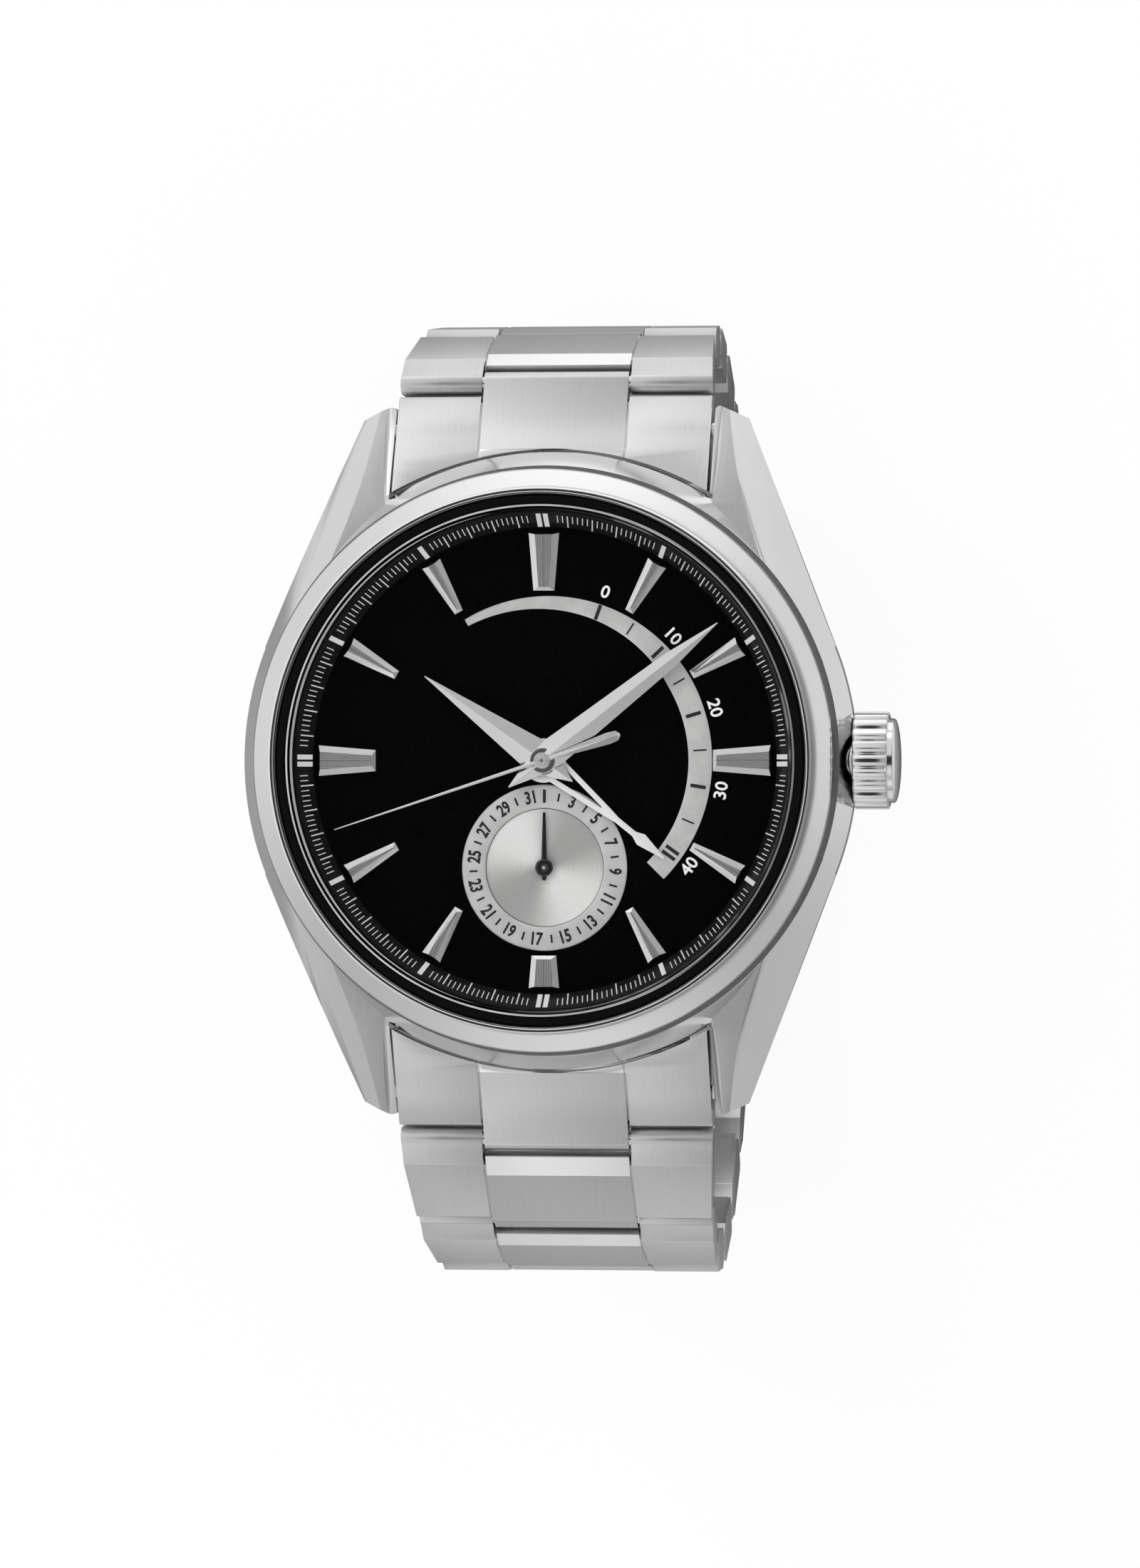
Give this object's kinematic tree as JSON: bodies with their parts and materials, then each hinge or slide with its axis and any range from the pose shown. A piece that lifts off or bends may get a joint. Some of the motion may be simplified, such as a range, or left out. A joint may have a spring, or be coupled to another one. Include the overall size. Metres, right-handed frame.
{
  "type": "wristwatch",
  "caption": "Round steel wristwatch with a black dial, a date sub-dial, a power-reserve hand and a linked bracelet that closes with a folding push-button clasp",
  "frame": {"origin": "on the clasp's flat underside, directly below the dial's centre", "axes": "+Z out of the dial, +Y toward twelve o'clock, +X toward the crown"},
  "size_m": [0.0452, 0.0668, 0.0593],
  "materials": {
    "polished_steel": "polished",
    "brushed_steel": "brushed",
    "sapphire": "clear, anti-reflective",
    "back_glass": "clear",
    "seal": "matt",
    "black_lacquer": "glossy black lacquer over brass",
    "chapter": "satin black with white print",
    "frosted_plate": "frosted silver plating",
    "hand_steel": "diamond-cut facets",
    "black_hand": "black lacquer",
    "plated_brass": "rhodium plated, striped and grained",
    "wheel_brass": "gilt",
    "spacer_plastic": "moulded"
  },
  "bodies": {
    "case": {"case_middle": "polished_steel", "bezel": "polished_steel", "crystal_gasket": "seal", "crystal": "sapphire", "chapter_ring": "chapter", "dial": "black_lacquer", "date_plate": "frosted_plate", "reserve_scale": "frosted_plate", "main_plate": "plated_brass", "movement_spacer": "spacer_plastic", "train_bridge": "plated_brass", "balance_cock": "plated_brass", "rotor_bearing": "polished_steel", "case_back_ring": "polished_steel", "case_back_glass": "back_glass", "case_back_gasket": "seal", "crown_tube": "polished_steel", "end_link_12": "brushed_steel", "spring_bar_12": "polished_steel", "end_link_6": "brushed_steel", "spring_bar_6": "polished_steel"},
    "hour": {"hour_hand": "hand_steel"},
    "minute": {"minute_hand": "hand_steel"},
    "seconds": {"seconds_hand": "hand_steel", "seconds_wheel": "wheel_brass"},
    "reserve": {"reserve_hand": "hand_steel"},
    "date": {"date_hand": "black_hand", "date_wheel": "wheel_brass"},
    "barrel": {"barrel": "wheel_brass"},
    "third": {"third_wheel": "wheel_brass"},
    "balance": {"balance_wheel": "wheel_brass"},
    "rotor": {"rotor": "plated_brass"},
    "crown_slider": {"crown_seal": "seal"},
    "crown": {"crown": "polished_steel", "stem": "polished_steel"},
    "upper_1": {"link_12_1": "brushed_steel"},
    "upper_2": {"link_12_2": "brushed_steel"},
    "upper_3": {"link_12_3": "brushed_steel"},
    "upper_4": {"link_12_4": "brushed_steel"},
    "upper_5": {"link_12_5": "brushed_steel"},
    "upper_6": {"link_12_6": "brushed_steel", "clasp_spring_bar": "polished_steel"},
    "lower_1": {"link_6_1": "brushed_steel"},
    "lower_2": {"link_6_2": "brushed_steel"},
    "lower_3": {"link_6_3": "brushed_steel"},
    "lower_4": {"link_6_4": "brushed_steel"},
    "lower_5": {"link_6_5": "brushed_steel"},
    "lower_6": {"link_6_6": "brushed_steel"},
    "lower_7": {"link_6_7": "brushed_steel"},
    "inner_blade": {"clasp_inner_blade": "polished_steel", "clasp_turn_pin": "polished_steel"},
    "middle_blade": {"clasp_middle_blade": "polished_steel"},
    "cover": {"clasp_cover": "brushed_steel", "clasp_cover_pin": "polished_steel"},
    "button_right": {"clasp_button_right": "polished_steel"},
    "button_left": {"clasp_button_left": "polished_steel"}
  },
  "joints": [
    {"name": "minute_turn", "type": "hinge", "parent": "case", "child": "minute", "pos_m": [0, 0, 0.0562], "axis": [0, 0, -1], "continuous": true},
    {"name": "hour_turn", "type": "hinge", "parent": "case", "child": "hour", "pos_m": [0, 0, 0.0559], "axis": [0, 0, -1], "continuous": true},
    {"name": "seconds_turn", "type": "hinge", "parent": "case", "child": "seconds", "pos_m": [0, 0, 0.0565], "axis": [0, 0, -1], "continuous": true},
    {"name": "third_turn", "type": "hinge", "parent": "case", "child": "third", "pos_m": [0.00192, 0.00362, 0.0524], "axis": [0, 0, -1], "continuous": true},
    {"name": "barrel_turn", "type": "hinge", "parent": "case", "child": "barrel", "pos_m": [-0.0074, 0.0029, 0.052], "axis": [0, 0, -1], "continuous": true},
    {"name": "reserve_turn", "type": "hinge", "parent": "case", "child": "reserve", "pos_m": [0, 0, 0.0555], "axis": [0, 0, -1], "range_deg": [-108.9, 5.7]},
    {"name": "date_turn", "type": "hinge", "parent": "case", "child": "date", "pos_m": [0, -0.00725, 0.0553], "axis": [0, 0, -1], "continuous": true},
    {"name": "balance_swing", "type": "hinge", "parent": "case", "child": "balance", "pos_m": [0.003, -0.0076, 0.0516], "axis": [0, 0, -1], "range_deg": [-270, 270], "stiffness_Nm_per_rad": 0.00001},
    {"name": "rotor_turn", "type": "hinge", "parent": "case", "child": "rotor", "pos_m": [0, 0, 0.0491], "axis": [0, 0, 1], "continuous": true},
    {"name": "crown_pull", "type": "slide", "parent": "case", "child": "crown_slider", "axis": [1, 0, 0], "range_m": [0, 0.0016]},
    {"name": "crown_turn", "type": "hinge", "parent": "crown_slider", "child": "crown", "pos_m": [0.0225, 0, 0.05212], "axis": [1, 0, 0], "continuous": true},
    {"name": "upper_1_fold", "type": "hinge", "parent": "case", "child": "upper_1", "pos_m": [0, 0.02595, 0.04762], "axis": [1, 0, 0], "range_deg": [0, 70]},
    {"name": "upper_2_fold", "type": "hinge", "parent": "upper_1", "child": "upper_2", "pos_m": [0, 0.02869, 0.0401], "axis": [1, 0, 0], "range_deg": [0, 15.04]},
    {"name": "upper_3_fold", "type": "hinge", "parent": "upper_2", "child": "upper_3", "pos_m": [0, 0.02938, 0.03213], "axis": [1, 0, 0], "range_deg": [0, 13.02]},
    {"name": "upper_4_fold", "type": "hinge", "parent": "upper_3", "child": "upper_4", "pos_m": [0, 0.02826, 0.02421], "axis": [1, 0, 0], "range_deg": [0, 12.36]},
    {"name": "upper_5_fold", "type": "hinge", "parent": "upper_4", "child": "upper_5", "pos_m": [0, 0.02547, 0.01671], "axis": [1, 0, 0], "range_deg": [0, 11.94]},
    {"name": "upper_6_fold", "type": "hinge", "parent": "upper_5", "child": "upper_6", "pos_m": [0, 0.02119, 0.00995], "axis": [1, 0, 0], "range_deg": [0, 11.64]},
    {"name": "lower_1_fold", "type": "hinge", "parent": "case", "child": "lower_1", "pos_m": [0, -0.02595, 0.04762], "axis": [-1, 0, 0], "range_deg": [0, 45]},
    {"name": "lower_2_fold", "type": "hinge", "parent": "lower_1", "child": "lower_2", "pos_m": [0, -0.03161, 0.04196], "axis": [-1, 0, 0], "range_deg": [0, 24.01]},
    {"name": "lower_3_fold", "type": "hinge", "parent": "lower_2", "child": "lower_3", "pos_m": [0, -0.03447, 0.03449], "axis": [-1, 0, 0], "range_deg": [0, 19.66]},
    {"name": "lower_4_fold", "type": "hinge", "parent": "lower_3", "child": "lower_4", "pos_m": [0, -0.03466, 0.0265], "axis": [-1, 0, 0], "range_deg": [0, 18.29]},
    {"name": "lower_5_fold", "type": "hinge", "parent": "lower_4", "child": "lower_5", "pos_m": [0, -0.03233, 0.01884], "axis": [-1, 0, 0], "range_deg": [0, 17.46]},
    {"name": "lower_6_fold", "type": "hinge", "parent": "lower_5", "child": "lower_6", "pos_m": [0, -0.02781, 0.01224], "axis": [-1, 0, 0], "range_deg": [0, 16.86]},
    {"name": "lower_7_fold", "type": "hinge", "parent": "lower_6", "child": "lower_7", "pos_m": [0, -0.02157, 0.00724], "axis": [-1, 0, 0], "range_deg": [0, 16.41]},
    {"name": "inner_blade_fold", "type": "hinge", "parent": "lower_7", "child": "inner_blade", "pos_m": [0, -0.01416, 0.0042], "axis": [-1, 0, 0], "range_deg": [0, 22.32]},
    {"name": "middle_blade_fold", "type": "hinge", "parent": "inner_blade", "child": "middle_blade", "pos_m": [0, 0.01263, 0.00255], "axis": [1, 0, 0], "range_deg": [0, 75]},
    {"name": "cover_fold", "type": "hinge", "parent": "middle_blade", "child": "cover", "pos_m": [0, -0.01676, 0.00175], "axis": [-1, 0, 0], "range_deg": [0, 150]},
    {"name": "button_right_press", "type": "slide", "parent": "cover", "child": "button_right", "axis": [-1, 0, 0], "range_m": [0, 0.0007], "stiffness_N_per_m": 300},
    {"name": "button_left_press", "type": "slide", "parent": "cover", "child": "button_left", "axis": [1, 0, 0], "range_m": [0, 0.0007], "stiffness_N_per_m": 300}
  ],
  "couplings": [
    {"joint": "hour_turn", "follows": "minute_turn", "ratio": 0.083333},
    {"joint": "third_turn", "follows": "seconds_turn", "ratio": -0.125},
    {"joint": "barrel_turn", "follows": "seconds_turn", "ratio": -0.0025},
    {"joint": "upper_2_fold", "follows": "upper_1_fold", "ratio": 0.21479},
    {"joint": "upper_3_fold", "follows": "upper_1_fold", "ratio": 0.18602},
    {"joint": "upper_4_fold", "follows": "upper_1_fold", "ratio": 0.17651},
    {"joint": "upper_5_fold", "follows": "upper_1_fold", "ratio": 0.17061},
    {"joint": "upper_6_fold", "follows": "upper_1_fold", "ratio": 0.16635},
    {"joint": "lower_2_fold", "follows": "lower_1_fold", "ratio": 0.53345},
    {"joint": "lower_3_fold", "follows": "lower_1_fold", "ratio": 0.43679},
    {"joint": "lower_4_fold", "follows": "lower_1_fold", "ratio": 0.40648},
    {"joint": "lower_5_fold", "follows": "lower_1_fold", "ratio": 0.38797},
    {"joint": "lower_6_fold", "follows": "lower_1_fold", "ratio": 0.37476},
    {"joint": "lower_7_fold", "follows": "lower_1_fold", "ratio": 0.36456},
    {"joint": "inner_blade_fold", "follows": "lower_1_fold", "ratio": 0.496},
    {"joint": "middle_blade_fold", "follows": "cover_fold", "ratio": 0.5}
  ]
}
